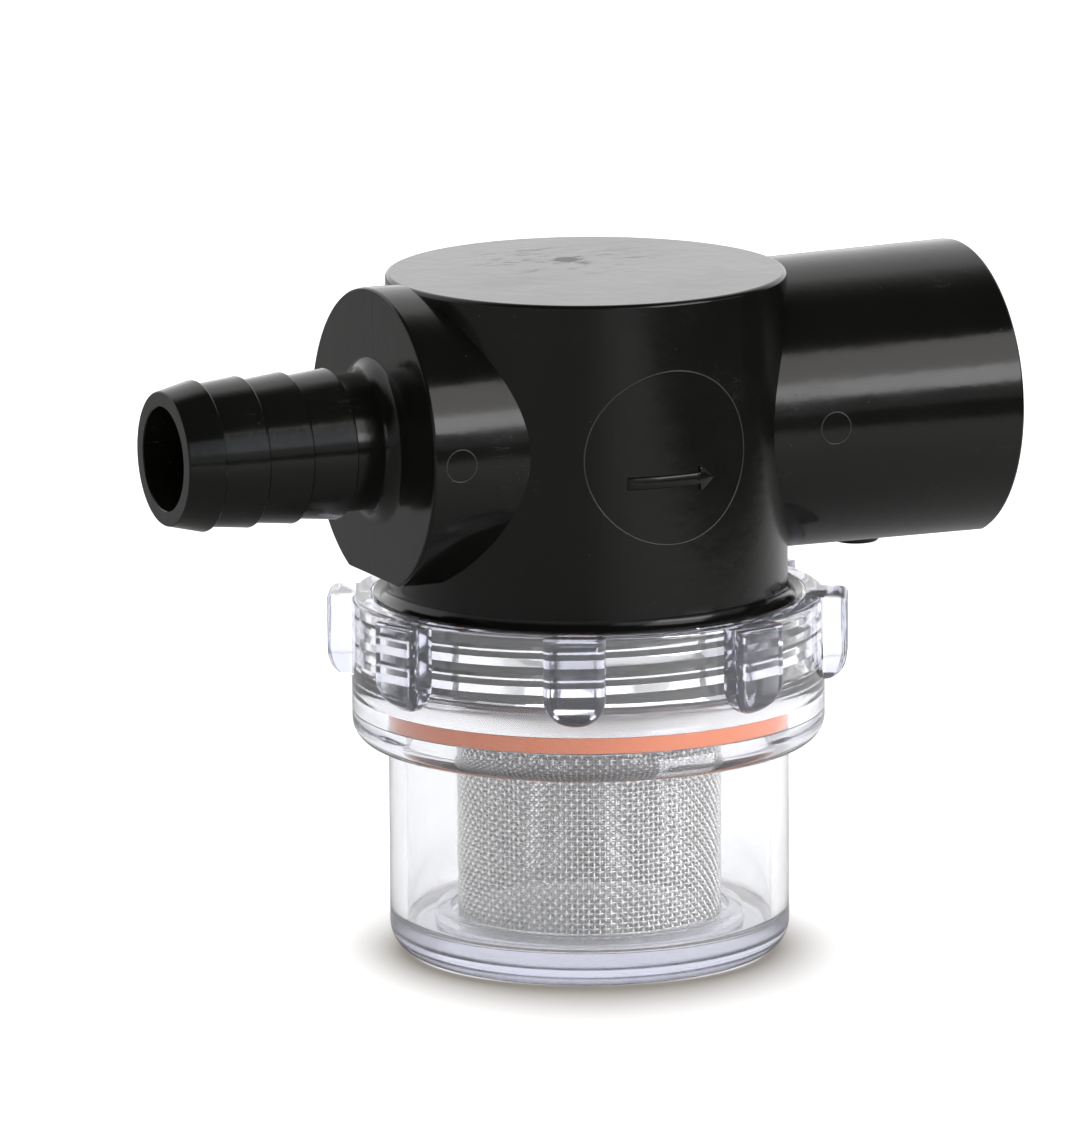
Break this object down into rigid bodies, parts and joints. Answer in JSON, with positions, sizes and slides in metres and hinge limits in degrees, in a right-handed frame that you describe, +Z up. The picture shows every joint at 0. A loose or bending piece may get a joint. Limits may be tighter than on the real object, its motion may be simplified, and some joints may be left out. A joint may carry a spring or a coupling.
{
  "type": "sea water strainer",
  "caption": "Twist-on in-line strainer: black moulded head with hose barb and threaded socket, clear screw-on bowl, gasket and woven mesh screen.",
  "frame": {"origin": "where the bowl's axis meets its flat base", "axes": "+X along the flow, from the hose barb to the threaded socket; +Z up along the bowl's axis, through the head"},
  "size_m": [0.0866, 0.0508, 0.0684],
  "materials": {
    "head_plastic": "semi-gloss moulded black",
    "clear_plastic": "polished clear with a faint lavender tint",
    "gasket_rubber": "smooth orange rubber",
    "screen_wire": "woven stainless wire"
  },
  "bodies": {
    "head": {"housing": "head_plastic"},
    "carriage": {"screen": "screen_wire"},
    "twist_bowl": {"bowl": "clear_plastic", "gasket": "gasket_rubber"}
  },
  "joints": [
    {"name": "bowl_lower", "type": "slide", "parent": "head", "child": "carriage", "axis": [0, 0, -1], "range_m": [0, 0.0056]},
    {"name": "bowl_twist", "type": "hinge", "parent": "carriage", "child": "twist_bowl", "pos_m": [0, 0, 0], "axis": [0, 0, -1], "range_deg": [0, 720]}
  ],
  "couplings": [
    {"joint": "bowl_lower", "follows": "bowl_twist", "m_per_rad": 0.00044563}
  ]
}
